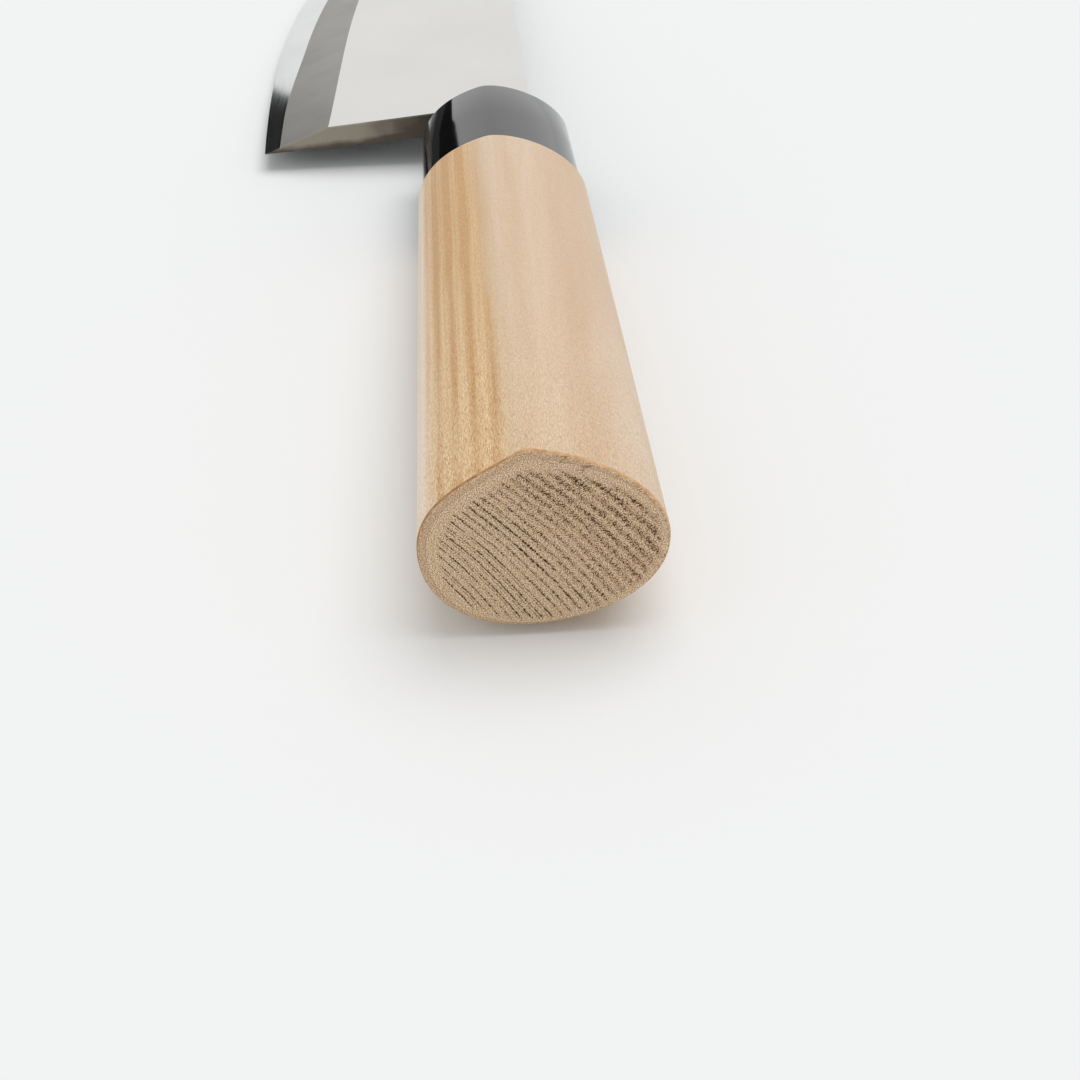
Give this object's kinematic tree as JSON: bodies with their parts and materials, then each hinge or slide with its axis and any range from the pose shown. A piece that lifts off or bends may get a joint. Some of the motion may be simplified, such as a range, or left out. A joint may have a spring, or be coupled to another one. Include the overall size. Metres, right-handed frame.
{
  "type": "deba knife",
  "caption": "Single-bevel Japanese deba kitchen knife with a laminated steel blade, black ferrule and ridged oval wooden handle.",
  "frame": {"origin": "centre of the flat butt of the handle, on the handle's axis", "axes": "+X along the handle to the tip of the blade, +Y towards the cutting edge, +Z out of the bevelled face"},
  "size_m": [0.325, 0.0601, 0.0254],
  "materials": {
    "soft_iron": "satin ground",
    "hard_steel": "polished",
    "black_ferrule": "gloss",
    "magnolia_wood": "sanded, unvarnished",
    "sealing_resin": "matte",
    "bedding_resin": "matte"
  },
  "bodies": {
    "root": {"blade_cladding": "soft_iron", "edge_steel": "hard_steel", "ferrule": "black_ferrule", "handle_grip": "magnolia_wood", "mouth_seal": "sealing_resin", "tang_bedding": "bedding_resin"}
  },
  "joints": []
}
